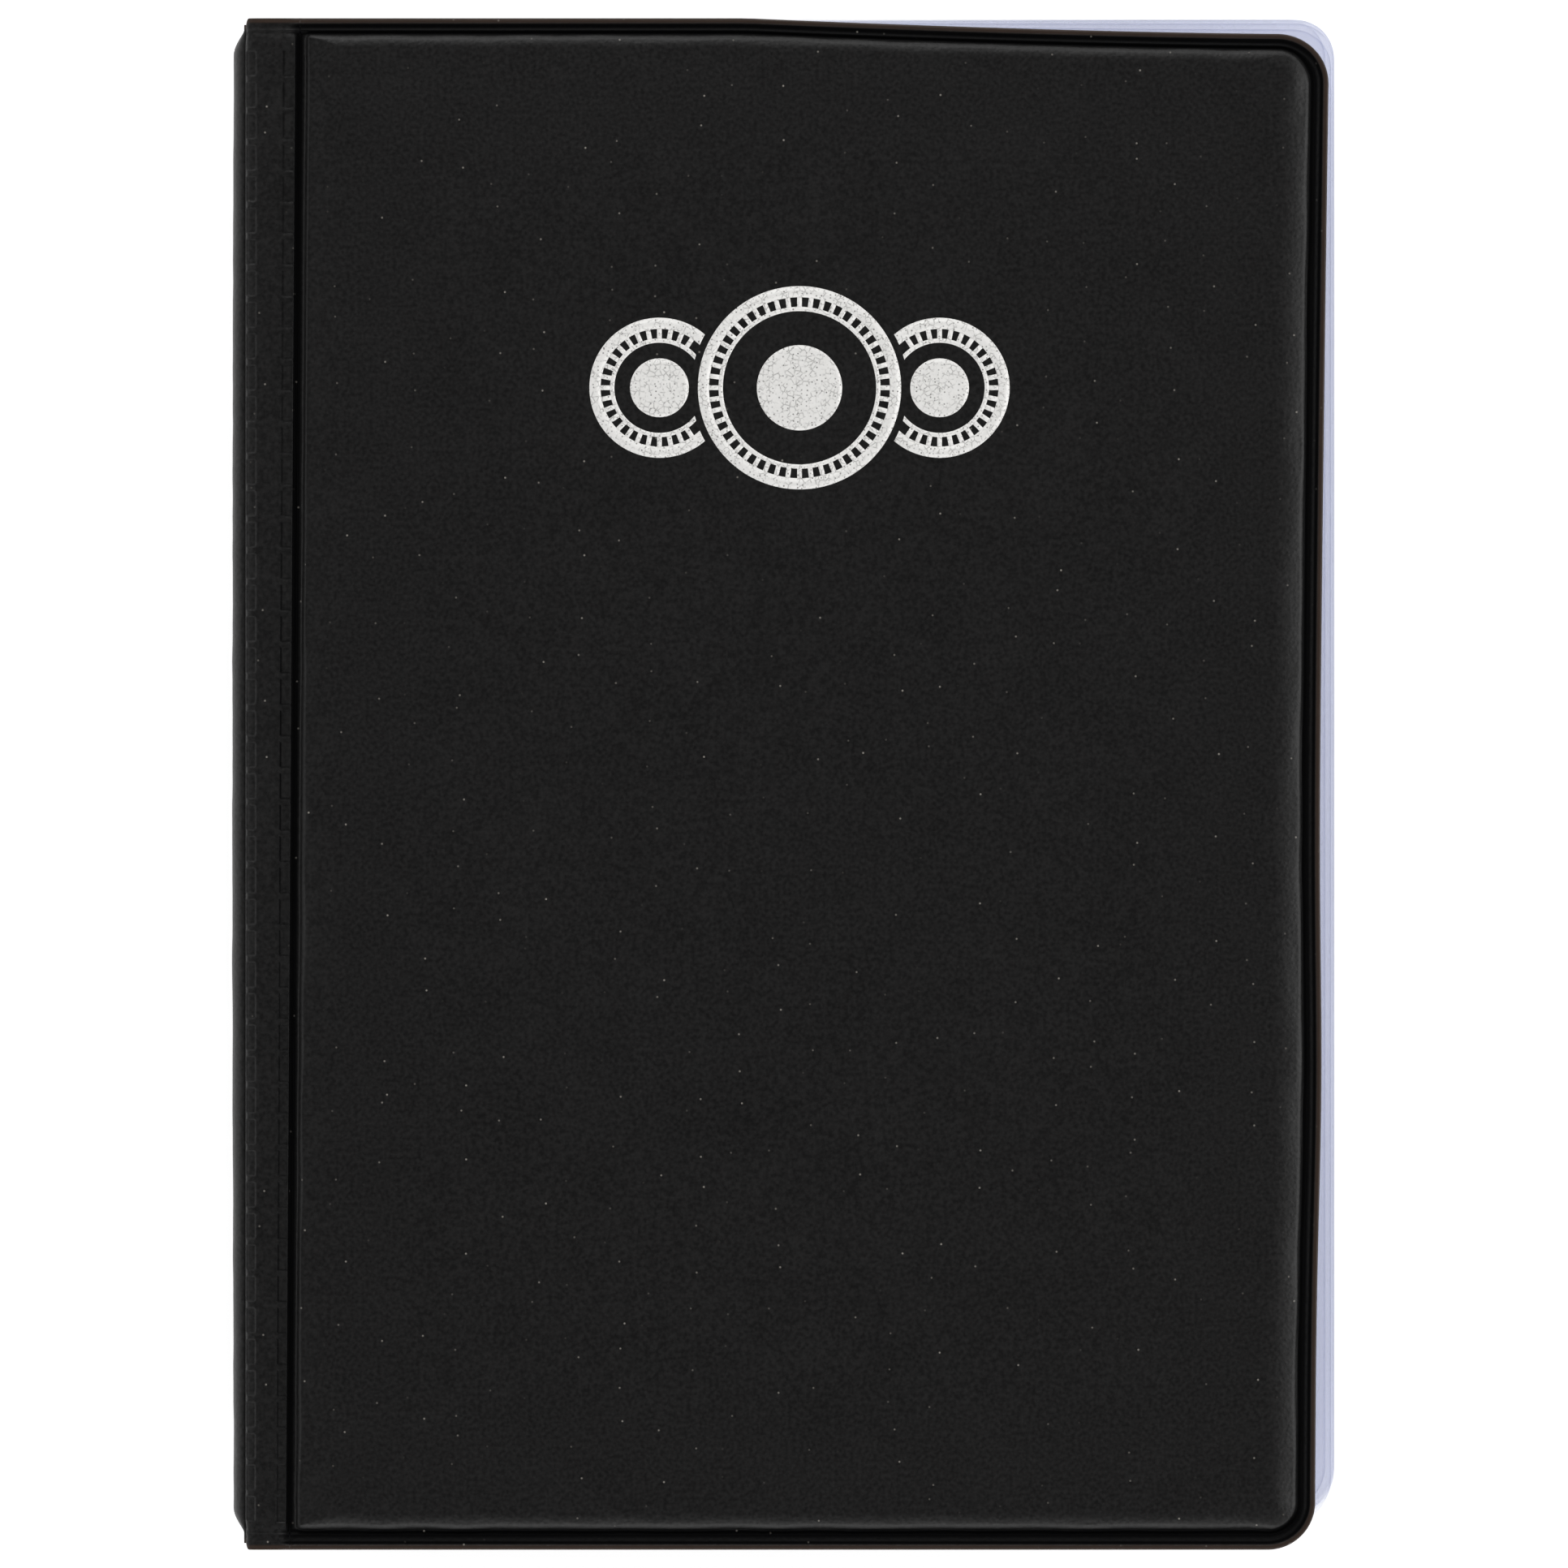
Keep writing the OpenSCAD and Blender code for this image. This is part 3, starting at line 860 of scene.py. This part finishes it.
def hinge_y_lines():
    """Grid lines along a hinge, close together at its ends and at the foot and head of every cell."""
    cell_count = round((2 * LADDER_HALF_H + CELL_GAP) / CELL_PITCH)
    by_foot = [-0.22, -0.11, 0.0, 0.11, 0.22]
    by_head = [CELL_H - 0.22, CELL_H - 0.1, CELL_H, CELL_H + 0.12]
    offsets = [*by_foot, CELL_H * 0.5, *by_head]
    foot = LADDER_MID_Y - LADDER_HALF_H
    ladder_lines = [foot + cell * CELL_PITCH + offset for cell in range(cell_count) for offset in offsets]
    ends = grid_lines((LADDER_HALF_H + 0.3, HALF_H - 2.2, 0.25), (HALF_H - 2.2, HALF_H, 0.11))
    lines = np.unique(np.round(np.concatenate([-ends, ladder_lines, ends]), 4))
    return lines[np.concatenate([[True], np.diff(lines) > 0.03])]


def hinge_height(travel, y, edge):
    """Height of a hinge's outer face, with the ladders pressed into it."""
    height = shoulder_height(PIECE_JOIN_X - travel, edge)
    height = height + pressed_cells(travel, y, PANEL_LADDER, CELL_DEPTH_BY_PANEL)
    height = height + pressed_cells(travel, y, FOLD_LADDER, CELL_DEPTH_BY_FOLD)
    height = height - cell_lines(travel, y, PANEL_LADDER, (0.06, 0.0, 0.05, 0.02), 0.13)
    height = height + cell_lines(travel, y, FOLD_LADDER, (0.05, 0.0, 0.0, 0.03), 0.11)
    return np.where(travel > FLAT_LENGTH + ARC_LENGTH, np.minimum(height, FILM_T), height)


def rounded_fold_ends(y, reach):
    """The grid's y, drawn in at both ends of the fold. The reach is how far a point is from its outside."""
    reach = np.clip(reach, 0, FOLD_END_R)
    trim = FOLD_END_R - np.sqrt(np.maximum(FOLD_END_R ** 2 - (FOLD_END_R - reach) ** 2, 0))
    return y - np.sign(y) * trim * smooth(HALF_H - 6, HALF_H, np.abs(y))


def hinge(side):
    """The welded strip beside the panel and its fold, one piece of both films."""
    travel, y = np.meshgrid(hinge_travel_lines(), hinge_y_lines(), indexing="ij")
    path_x, path_h, out_x, out_h = fold_path(travel)
    edge = rim_distance(PIECE_JOIN_X - travel, y)
    height = hinge_height(travel, y, edge)
    py = rounded_fold_ends(y, path_x + out_x * FILM_T - (FOLD_X - FILM_T))
    lean = spine_side_lean(y) * np.clip(1 - travel / LEAN_FADE_W, 0, 1)

    def layer(h):
        z = WELD_Z[side] + OUTWARD[side] * (path_h + out_h * h)
        return surface(path_x + lean + out_x * h, py, z)

    # Painted shade: the groove by the panel, the walls of the cells by the panel and the pressed rim are
    # darkened, the cell walls unevenly.
    groove_end = GROOVE_W - (PANEL_X0 - PIECE_JOIN_X)
    groove = 1 - smooth(groove_end, groove_end + 0.25, travel)
    cell_wall_shade = cell_lines(travel, y, PANEL_LADDER, (1.0, 0.0, 0.75, 0.35), 0.15)
    cell_wall_shade = cell_wall_shade * np.clip(0.85 + 0.3 * waves(travel, y, 45.0, 81), 0.3, 1.0)
    rim = weld_band(edge) * rim_pressed(PIECE_JOIN_X - travel)
    weld = np.maximum(np.maximum(groove * smooth(1.5, 1.8, edge), cell_wall_shade), rim)
    inner_layer = layer(np.full(y.shape, HINGE_INNER_H))
    made = shell_piece(f"{side}_hinge", VINYL, layer(height), inner_layer, cut=cut_band(edge), weld=weld)
    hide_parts(f"{side}_skin", f"{side}_lining", "spine_skin")
    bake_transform(made)


# ---- spine ----

def spine():
    """The padded spine: vinyl bulging over its foam outside and lining inside, one closed pad."""
    bulge = FOLD_X - FILM_T - SPINE_BACK_X
    z0 = WELD_Z["back"] + TUCK - 0.05
    z1 = WELD_Z["front"] - TUCK + 0.05
    z_lines = grid_lines((z0, z0 + 2.4, 0.16), (z0 + 2.4, z1 - 2.4, 0.55), (z1 - 2.4, z1, 0.16))
    y_lines = mirrored(grid_lines((0, HALF_H - 6, 1.1), (HALF_H - 6, HALF_H - SPINE_END_INSET, 0.16)))
    z, y = np.meshgrid(z_lines, y_lines, indexing="ij")
    from_side = np.minimum(z - z0, z1 - z)
    from_end = SPINE_PAD_HALF_H - np.abs(y - SPINE_PAD_MID_Y)
    across = cushion(from_side, SPINE_ROUND_W, 1.0)
    end_taper = np.sin(np.clip(from_end / SPINE_TAPER_W, 0, 1) * math.pi / 2)
    uneven = 0.03 * waves(z * 2, y, 14.0, 71) + 0.02 * waves(z, y, 5.0, 72)
    belly = SPINE_BELLY * np.cos(y / HALF_H * math.pi / 2)
    out = (bulge + belly + uneven) * across * end_taper
    lining_x = strip_low[0] - 0.02
    lining_bulge = lining_x - FOLD_X - FILM_T
    outer = surface(FOLD_X - FILM_T - out, y, z)
    inner = surface(FOLD_X + FILM_T + lining_bulge * smooth(0, 0.8, from_side) * end_taper, y, z)
    cut = cut_band(HALF_H - SPINE_END_INSET - np.abs(y))
    made = shell_piece("spine_cover", VINYL, outer, inner, cut=cut)
    stands_for(made, "spine", "cover_vinyl", "spine_skin", "spine_foam", "spine_lining")


# ---- foil emblem ----

def emblem():
    """Three blank coin discs in silver foil, laid on the panel."""
    low, high = node_box("foil_emblem")
    middle = (low + high) / 2
    middle_r = (high[1] - low[1]) / 2
    side_r = (high[0] - low[0]) / 6
    side_x = (high[0] - low[0]) / 2 - side_r
    builder = Builder()

    def lay(x, y, closed=False):
        z = WELD_Z["front"] + cover_height("front", x, y, rim_distance(x, y))
        builder.shell(surface(x, y, z + 0.03), surface(x, y, z - 0.02), closed)

    def arc_reach(centre_x, radius):
        """Half the angle of a side disc's arc that stays clear of the middle disc."""
        clear = middle_r + DISC_GAP
        towards = (clear ** 2 - centre_x ** 2 - radius ** 2) / (2 * abs(centre_x) * radius)
        return math.acos(float(np.clip(towards, -1, 1)))

    def band(centre_x, outer_r, width):
        radii = np.linspace(outer_r - width, outer_r, 2 + int(width))
        reach = [math.pi if centre_x == 0 else arc_reach(centre_x, radius) for radius in radii]
        heading = 0.0 if centre_x >= 0 else math.pi
        angle = heading + np.linspace(-1, 1, 241)[None, :] * np.array(reach)[:, None]
        x = middle[0] + centre_x + radii[:, None] * np.cos(angle)
        y = middle[1] + radii[:, None] * np.sin(angle)
        lay(x, y, closed=min(reach) == math.pi)

    def disc(centre_x, radius):
        along = np.linspace(-1, 1, 1 + 4 * round(radius))
        u, v = np.meshgrid(along, along, indexing="ij")
        x = radius * u * np.sqrt(1 - v * v / 2)
        y = radius * v * np.sqrt(1 - u * u / 2)
        lay(middle[0] + centre_x + x, middle[1] + y)

    def reeds(centre_x, r):
        inner_r = r - DISC_RIM_W - REED_L
        outer_r = r - DISC_RIM_W
        reed_count = 4 * round(r)
        for number in range(reed_count):
            angle = number * math.tau / reed_count
            along = np.array([inner_r - 0.02, outer_r + 0.02])[:, None]
            aside = np.array([-REED_W / 2, REED_W / 2])[None, :]
            x = centre_x + along * math.cos(angle) - aside * math.sin(angle)
            y = along * math.sin(angle) + aside * math.cos(angle)
            if centre_x == 0 or np.hypot(x, y).min() > middle_r + DISC_GAP:
                lay(middle[0] + x, middle[1] + y)

    for centre_x, r in ((0.0, middle_r), (-side_x, side_r), (side_x, side_r)):
        band(centre_x, r, DISC_RIM_W)
        band(centre_x, r - DISC_RIM_W - REED_L, DISC_LINE_W)
        disc(centre_x, DISC_CENTRE_SHARE * r)
        reeds(centre_x, r)
    made = builder.piece("foil_emblem_print", FOIL)
    stands_for(made, "front_cover", "silver_foil", "foil_emblem")


# ---- leaves ----

def leaf_layout(leaf):
    """The outline of a leaf and how it has slipped in the stack.

    The lower a leaf lies, the further it reaches past its CAD sheet, and three leaves have slipped back.
    """
    low, high = node_box(f"{leaf}_sheet")
    number = int(leaf[-2:])
    draw = np.random.default_rng(500 + number)
    depth = 1 - number / len(leaf_names)
    slip_x = LEAF_REACH_X * depth - draw.uniform(0.0, 0.10) - LEAF_SLIP_X.get(number, 0.0)
    slip_y = LEAF_REACH_Y * depth - draw.uniform(0.0, 0.06) - LEAF_SLIP_Y.get(number, 0.0)
    return low, high, number, slip_x, slip_y


def place_on_leaf(leaf, x, y, height):
    """Points on a leaf: the grid bent to its corners, slipped, and following the leaf's soft waves."""
    low, high, number, slip_x, slip_y = leaf_layout(leaf)
    fold = joint_at[f"{leaf}_fold"]
    px, py = round_fore_corners(x, y, high[0], low[1], high[1], LEAF_CORNER_R)
    share = smooth(fold[0], high[0], px)
    lift = 0.10 * waves(px, py, 70.0, 7) + 0.05 * waves(px, py, 34.0, 60 + number)
    lift = lift * smooth(fold[0] + 1, fold[0] + 14, px)
    return surface(px + slip_x * share, py + slip_y * share, fold[2] + lift + height)


def painted_edge_shade(depth, slipped):
    """How strongly painted shade darkens a leaf's tint along its cut edge, this far in from it."""
    strength = LEAF_EDGE_SHADE["slipped" if slipped else "level"]
    return strength * (1 - smooth(0.05, 0.35, depth))


def leaf_film(leaf):
    """A leaf's backing sheet, from the binding strip to the fore edge."""
    low, high, number, *_ = leaf_layout(leaf)
    fold = joint_at[f"{leaf}_fold"]
    fore_x = high[0]
    tail_y = low[1]
    head_y = high[1]
    x_lines = grid_lines(
        (strip_high[0], fold[0] + 1.2, 0.2), (fold[0] + 1.2, fore_x - LEAF_BORDER, 4),
        (fore_x - LEAF_BORDER, fore_x - 1, 0.8), (fore_x - 0.9, fore_x, 0.3),
    )
    y_lines = grid_lines(
        (tail_y, tail_y + 1, 0.3), (tail_y + 1, tail_y + LEAF_BORDER, 0.8),
        (tail_y + LEAF_BORDER, head_y - LEAF_BORDER, 4),
        (head_y - LEAF_BORDER, head_y - 1, 0.8), (head_y - 1, head_y, 0.3),
    )
    x, y = np.meshgrid(x_lines, y_lines, indexing="ij")
    # Painted shade along the leaf's cut edges, stronger where the leaf has slipped.
    at_fore = painted_edge_shade(fore_x - x, number in LEAF_SLIP_X)
    at_end = painted_edge_shade(np.minimum(y - tail_y, head_y - y), number in LEAF_SLIP_Y)
    edge = np.maximum(at_fore, at_end)
    outer = place_on_leaf(leaf, x, y, LEAF_SHEET_T / 2)
    inner = place_on_leaf(leaf, x, y, -LEAF_SHEET_T / 2)
    made = shell_piece(f"{leaf}_film", LEAF_FILM, outer, inner, edge=edge)
    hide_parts(f"{leaf}_sheet", "leaf_stubs")
    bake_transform(made)


def leaf_fronts(leaf):
    """The four strips of pocket fronts, welded to the sheet round each pocket and notched for a thumb."""
    low, high, *_ = leaf_layout(leaf)
    seams_low, seams_high = node_box(f"{leaf}_seams")
    row_h = (high[1] - low[1] - 2 * (seams_low[1] - low[1])) / POCKET_ROWS
    column_w = (seams_high[0] - seams_low[0] - SEAM_W) / POCKET_COLUMNS
    strip_h = row_h - MOUTH_H
    seam_x = [seams_low[0] + column * column_w for column in range(POCKET_COLUMNS + 1)]
    spans = [(seams_high[0] - SEAM_W, seams_high[0], 0.4)]
    for start, end in zip(seam_x, seam_x[1:]):
        spans += [(start, start + SEAM_W, 0.4), (start + SEAM_W, end, 1.8)]
    x_lines = grid_lines(*spans)
    centre_above = NOTCH_R - NOTCH_DEPTH
    column_x = np.mod(x_lines - seams_low[0] - SEAM_W / 2, column_w) - column_w / 2
    notch = np.maximum(np.sqrt(np.maximum(NOTCH_R ** 2 - column_x ** 2, 0)) - centre_above, 0)
    shares = grid_lines((0, SEAM_W, 0.3), (SEAM_W, strip_h, 3.2)) / strip_h
    builder = Builder()
    edges = []
    for row in range(POCKET_ROWS):
        y0 = seams_low[1] + row * row_h
        x, share = np.meshgrid(x_lines, shares, indexing="ij")
        y = y0 + share * (strip_h - notch[:, None])
        from_seam = column_w / 2 - SEAM_W / 2 - np.abs(column_x)[:, None]
        puff = smooth(0, 6, from_seam) * smooth(SEAM_W, SEAM_W + 6, y - y0)
        outer = place_on_leaf(leaf, x, y, LEAF_SHEET_T / 2 + 0.17 + POCKET_PUFF * puff)
        inner = place_on_leaf(leaf, x, y, LEAF_SHEET_T / 2 + 0.02 + POCKET_PUFF * puff)
        builder.shell(outer, inner)
        pressed = 0.5 * (1 - smooth(0.0, 0.15, np.minimum(from_seam, y - y0 - SEAM_W)))
        edges.append(np.concatenate([pressed.ravel(), pressed.ravel()]))
    made = builder.piece(f"{leaf}_fronts", LEAF_FILM, {"edge": np.concatenate(edges)})
    stands_for(made, leaf, "leaf_film", f"{leaf}_pockets", f"{leaf}_seams")


# ---- stage ----

def table():
    """A wide pale floor under the album."""
    size = 4000.0
    drop = 0.05
    along = np.linspace(-size, size, 9)
    x, y = np.meshgrid(along, along, indexing="ij")
    builder = Builder()
    builder.shell(surface(x, y, np.full(x.shape, -drop)), surface(x, y, np.full(x.shape, -drop - 20)))
    builder.piece("floor", pale_floor())


def softbox(name, azimuth, elevation, power):
    """A square studio light that looks at the album."""
    light = bpy.data.lights.new(name, "AREA")
    light.shape = "SQUARE"
    light.size = LIGHT_SIZE
    light.energy = power
    holder = bpy.data.objects.new(name, light)
    a = math.radians(azimuth)
    e = math.radians(elevation)
    towards = (math.cos(a) * math.cos(e), math.sin(a) * math.cos(e), math.sin(e))
    holder.location = tuple(LIGHT_DISTANCE * share for share in towards)
    holder.rotation_euler = (0.0, math.pi / 2 - e, a)
    holder.visible_camera = False
    bpy.context.scene.collection.objects.link(holder)


def surroundings():
    """An even white room that is darker overhead, where the camera hangs."""
    world = bpy.data.worlds.new("room")
    world.use_nodes = True
    tree = world.node_tree
    background = tree.nodes["Background"]
    place = tree.nodes.new("ShaderNodeTexCoord")
    split = tree.nodes.new("ShaderNodeSeparateXYZ")
    tree.links.new(place.outputs["Generated"], split.inputs["Vector"])
    ramp = tree.nodes.new("ShaderNodeMapRange")
    ramp.interpolation_type = "SMOOTHSTEP"
    for socket, value in (("From Min", 0.40), ("From Max", 0.80), ("To Min", 1.1), ("To Max", 0.05)):
        ramp.inputs[socket].default_value = value
    tree.links.new(split.outputs["Z"], ramp.inputs["Value"])
    tree.links.new(ramp.outputs["Result"], background.inputs["Strength"])
    background.inputs["Color"].default_value = (1.0, 1.0, 1.0, 1.0)
    bpy.context.scene.world = world


def camera():
    """A long lens straight above the album, framed by its view's width at the front cover's weld plane."""
    lens = bpy.data.cameras.new("camera")
    lens.sensor_width = 36.0
    lens.lens = lens.sensor_width * CAMERA_DISTANCE / VIEW_W
    lens.clip_start, lens.clip_end = 0.05, 20.0
    holder = bpy.data.objects.new("camera", lens)
    holder.location = (0.0, 0.0, (WELD_Z["front"] + CAMERA_DISTANCE) * MM)
    bpy.context.scene.collection.objects.link(holder)
    bpy.context.scene.camera = holder


# ---- the album and its studio ----

for side in ("back", "front"):
    cover_skin(side)
    cover_foam(side)
    cover_board(side)
    cover_lining(side)
    hinge(side)
spine()
emblem()
for leaf in leaf_names:
    leaf_film(leaf)
    leaf_fronts(leaf)

finish_node("spine_card", BOARD)
finish_node("binding_strip", BINDING_FILM)

table()
for light_name, (azimuth, elevation, power) in LIGHTS.items():
    softbox(f"softbox_{light_name}", azimuth, elevation, power)
surroundings()
camera()

scene = bpy.context.scene
scene.view_settings.view_transform = "Standard"
scene.cycles.transparent_max_bounces = 160
